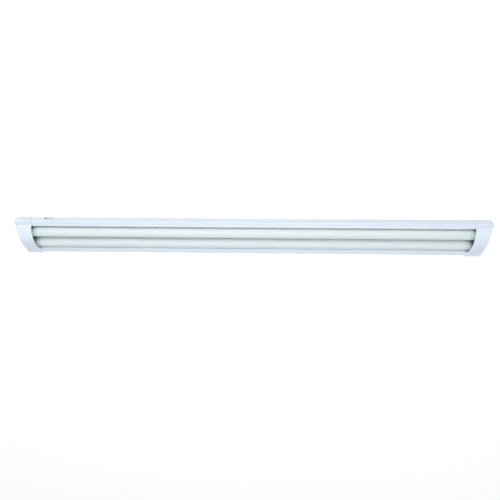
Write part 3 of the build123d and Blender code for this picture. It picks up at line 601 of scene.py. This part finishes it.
def pan_screws():
    """Pan-head screws with a cross recess, heads down, one on each starting point."""
    tree = Tree("pan_screws", {
        "Head": 0.0076,
        "Head Height": HEAD_HEIGHT,
        "Shank": 0.004,
        "Shank Length": 0.008,
        "Recess": 0.0009,
        "Recess Depth": 0.0012,
    })
    given = tree.given
    head_radius = tree.math("MULTIPLY", given["Head"], 0.5)
    disc = tree.add(
        "GeometryNodeMeshCylinder", Vertices=32, Radius=head_radius, Depth=given["Head Height"]
    )
    blank = tree.moved(disc, Translation=tree.vector(Z=tree.math("MULTIPLY", given["Head Height"], -0.5)))
    crown = tree.math("MULTIPLY", given["Head"], CROWN_RADIUS)
    ball = tree.add("GeometryNodeMeshUVSphere", Segments=48, Rings=40, Radius=crown)
    dome = tree.moved(ball, Translation=tree.vector(Z=tree.math("SUBTRACT", crown, given["Head Height"])))
    head = tree.boolean("INTERSECT", Mesh_2=[blank, dome])
    arm = tree.math("MULTIPLY", given["Head"], RECESS_ARM)
    tall = tree.math("MULTIPLY", given["Recess Depth"], 2.0)
    face = tree.vector(Z=tree.math("MULTIPLY", given["Head Height"], -1.0))
    bar = tree.add("GeometryNodeMeshCube", Size=tree.vector(X=arm, Y=given["Recess"], Z=tall))
    first = tree.moved(bar, Translation=face)
    second = tree.moved(bar, Translation=face, Rotation=(0, 0, math.pi / 2))
    slotted = tree.boolean("DIFFERENCE", Mesh_1=head, Mesh_2=first)
    crossed = tree.boolean("DIFFERENCE", Mesh_1=slotted, Mesh_2=second)
    shank_radius = tree.math("MULTIPLY", given["Shank"], 0.5)
    rod = tree.add(
        "GeometryNodeMeshCylinder", Vertices=24, Radius=shank_radius, Depth=given["Shank Length"]
    )
    shank = tree.moved(rod, Translation=tree.vector(Z=tree.math("MULTIPLY", given["Shank Length"], 0.5)))
    screw = tree.add("GeometryNodeJoinGeometry", Geometry=[crossed, shank])
    turn = tree.add("FunctionNodeRandomValue", {"data_type": "FLOAT"}, 1, _2=0.0, _3=math.pi, Seed=4)
    placed = tree.add(
        "GeometryNodeInstanceOnPoints", Points=given["Geometry"], Instance=screw, Rotation=tree.vector(Z=turn)
    )
    tree.finish(placed, math.radians(30))
    return tree


def make_reflector_screws():
    """The screws' heads lie under the reflector, and their shanks reach up to their nuts."""
    low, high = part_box("reflector_screws")
    seat = low[2] + HEAD_HEIGHT
    points = [(place, 0.0, seat) for place in SCREW_PLACES]
    piece = grow(
        "reflector_pan_screws", pan_screws(), points, [], "zinc_steel", "chassis", Shank_Length=high[2] - seat
    )
    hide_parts("reflector_screws")


make_reflector_screws()


# Grip ribs on the lampholders' back covers
RIB_HEIGHTS = (0.0055, 0.0, -0.0055)
RIB_END = 12.0
RIB_TIP = 0.00005


def cover_ribs():
    """Round-ended ribs across the starting points."""
    tree = Tree("cover_ribs", {"Rib Length": 0.013, "Rib Radius": 0.0006})
    given = tree.given
    half = tree.math("MULTIPLY", given["Rib Length"], 0.5)
    start = tree.vector(Y=tree.math("MULTIPLY", half, -1.0))
    line = tree.add("GeometryNodeCurvePrimitiveLine", Start=start, End=tree.vector(Y=half))
    fine = tree.add("GeometryNodeResampleCurve", Curve=line, Count=21)
    along = tree.add("GeometryNodeSplineParameter")
    centred = tree.math("SUBTRACT", tree.math("MULTIPLY", along, 2.0), 1.0)
    rounded = tree.math("POWER", tree.math("ABSOLUTE", centred), RIB_END)
    taper = tree.math("SQRT", tree.math("SUBTRACT", 1.0, rounded))
    width = tree.math("MAXIMUM", tree.math("MULTIPLY", taper, given["Rib Radius"]), RIB_TIP)
    ring = tree.add("GeometryNodeCurvePrimitiveCircle", Resolution=12, Radius=1.0)
    rib = tree.add("GeometryNodeCurveToMesh", Curve=fine, Profile_Curve=ring, Scale=width, Fill_Caps=True)
    placed = tree.add("GeometryNodeInstanceOnPoints", Points=given["Geometry"], Instance=rib)
    tree.finish(placed, math.radians(40))
    return tree


def make_cover_ribs():
    """Three ribs across the outer face of each cover."""
    points = []
    for row in ("near", "rear"):
        for side, end in (("left", -1), ("right", 1)):
            low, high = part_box(f"{row}_{side}_lampholder_cover")
            face = high[0] if end > 0 else low[0]
            middle = (low[2] + high[2]) / 2
            points += [(face, (low[1] + high[1]) / 2, middle + height) for height in RIB_HEIGHTS]
    grow("lampholder_cover_ribs", cover_ribs(), points, [], "holder_plastic", "chassis")


make_cover_ribs()


# Stage: a white ceiling that the fitting is fixed to, a pale floor, and soft light
CEILING_Z = 0.0008
CEILING_HALF = 6.0
CEILING_PAINT = (0.32, 0.26, 0.31, 1)
CEILING_LIFT = (0.80, 0.85, 0.81, 1)
FLOOR_Z = -2.4
FLOOR_HALF = 90.0
FLOOR_LIFT = 0.46
WHITE = (1, 1, 1, 1)
DAYLIGHT = (0.96, 0.98, 1.0)
WORLD_LEVEL = 0.46
LIT_SIDE = (0, 0, -0.04)
# Soft boxes: place, what each is turned towards, length, width and power
SOFT_BOXES = {
    "key": ((0.1, -1.1, -1.5), LIT_SIDE, 1.6, 0.3, 12.5),
    "side": ((-0.6, -1.9, -0.5), (-0.05, 0, -0.04), 1.6, 1.0, 15.5),
    "room": ((0.0, 0.1, -1.7), LIT_SIDE, 2.2, 0.25, 4.0),
    "far": ((0.0, 1.5, -1.1), LIT_SIDE, 2.0, 0.4, 4.5),
    "top": ((0.4, 0.5, 1.9), (0, 0, 0), 2.4, 0.8, 10.0),
    "right end": ((2.4, -0.4, 0.3), (0.6, 0, -0.03), 1.2, 1.0, 6.0),
}


def stage_plane(name, height, half, facing):
    """A level square that faces up (1) or down (-1)."""
    mesh = bpy.data.meshes.new(name)
    corners = [(-half, -half, height), (half, -half, height), (half, half, height), (-half, half, height)]
    mesh.from_pydata(corners, [], [(0, 1, 2, 3) if facing > 0 else (3, 2, 1, 0)])
    plane = bpy.data.objects.new(name, mesh)
    scene.collection.objects.link(plane)
    return plane


def background_rays(tree):
    """1 for the rays that show the background: straight to the camera, in gloss or through glass."""
    path = tree.nodes.new("ShaderNodeLightPath")
    seen = path.outputs["Is Camera Ray"]
    for ray in ("Is Glossy Ray", "Is Transmission Ray"):
        either = tree.nodes.new("ShaderNodeMath")
        either.operation = "MAXIMUM"
        tree.links.new(seen, either.inputs[0])
        tree.links.new(path.outputs[ray], either.inputs[1])
        seen = either.outputs[0]
    return seen


def ceiling_material():
    """White from below with the fitting's soft shadow on it, and clear from above."""
    material = bpy.data.materials.new("ceiling_white")
    material.use_nodes = True
    nodes, links = material.node_tree.nodes, material.node_tree.links
    nodes.clear()
    matt = nodes.new("ShaderNodeBsdfDiffuse")
    matt.inputs["Color"].default_value = CEILING_PAINT
    lift = nodes.new("ShaderNodeEmission")
    lift.inputs["Color"].default_value = CEILING_LIFT
    both = nodes.new("ShaderNodeAddShader")
    clear = nodes.new("ShaderNodeBsdfTransparent")
    geometry = nodes.new("ShaderNodeNewGeometry")
    choose = nodes.new("ShaderNodeMixShader")
    out = nodes.new("ShaderNodeOutputMaterial")
    links.new(matt.outputs[0], both.inputs[0])
    links.new(lift.outputs[0], both.inputs[1])
    links.new(geometry.outputs["Backfacing"], choose.inputs[0])
    links.new(both.outputs[0], choose.inputs[1])
    links.new(clear.outputs[0], choose.inputs[2])
    links.new(choose.outputs[0], out.inputs["Surface"])
    return material


def floor_material():
    """A matt pale floor that looks lighter to the camera than the light it throws back."""
    floor = Recipe("floor_pale")
    floor.colour(floor.mix(floor.noise(2.0, 2.0), (0.82, 0.82, 0.82), (0.80, 0.80, 0.80)))
    floor.set(Roughness=0.9, Specular_IOR_Level=0.1)
    seen = background_rays(floor.material.node_tree)
    floor.link(floor.math("MULTIPLY", seen, FLOOR_LIFT), floor.shader.inputs["Emission Strength"])
    floor.set(Emission_Color=WHITE)
    return floor.material


def make_stage():
    ceiling = stage_plane("ceiling", CEILING_Z, CEILING_HALF, -1)
    ceiling.data.materials.append(ceiling_material())
    ceiling.visible_diffuse = False
    ceiling.visible_glossy = False
    ceiling.visible_transmission = False
    ceiling.visible_shadow = False
    floor = stage_plane("floor", FLOOR_Z, FLOOR_HALF, 1)
    floor.data.materials.append(floor_material())


def make_world():
    """A pale sky that lights the fitting, and is plain white where it is seen."""
    world = bpy.data.worlds.new("studio")
    scene.world = world
    world.use_nodes = True
    nodes, links = world.node_tree.nodes, world.node_tree.links
    nodes.clear()
    soft = nodes.new("ShaderNodeBackground")
    soft.inputs["Color"].default_value = (*DAYLIGHT, 1)
    soft.inputs["Strength"].default_value = WORLD_LEVEL
    white = nodes.new("ShaderNodeBackground")
    white.inputs["Color"].default_value = WHITE
    white.inputs["Strength"].default_value = 1.0
    choose = nodes.new("ShaderNodeMixShader")
    out = nodes.new("ShaderNodeOutputWorld")
    links.new(background_rays(world.node_tree), choose.inputs[0])
    links.new(soft.outputs[0], choose.inputs[1])
    links.new(white.outputs[0], choose.inputs[2])
    links.new(choose.outputs[0], out.inputs["Surface"])


def soft_light(name, place, aim, length, width, power):
    """A soft box, longer along the fitting than across it."""
    data = bpy.data.lights.new(name, "AREA")
    data.shape = "RECTANGLE"
    data.size = length
    data.size_y = width
    data.energy = power
    data.color = DAYLIGHT
    light = bpy.data.objects.new(name, data)
    scene.collection.objects.link(light)
    light.location = place
    light.rotation_mode = "QUATERNION"
    light.rotation_quaternion = (Vector(aim) - Vector(place)).to_track_quat("-Z", "Y")
    light.visible_camera = False


make_stage()
make_world()
for name, values in SOFT_BOXES.items():
    soft_light(name, *values)
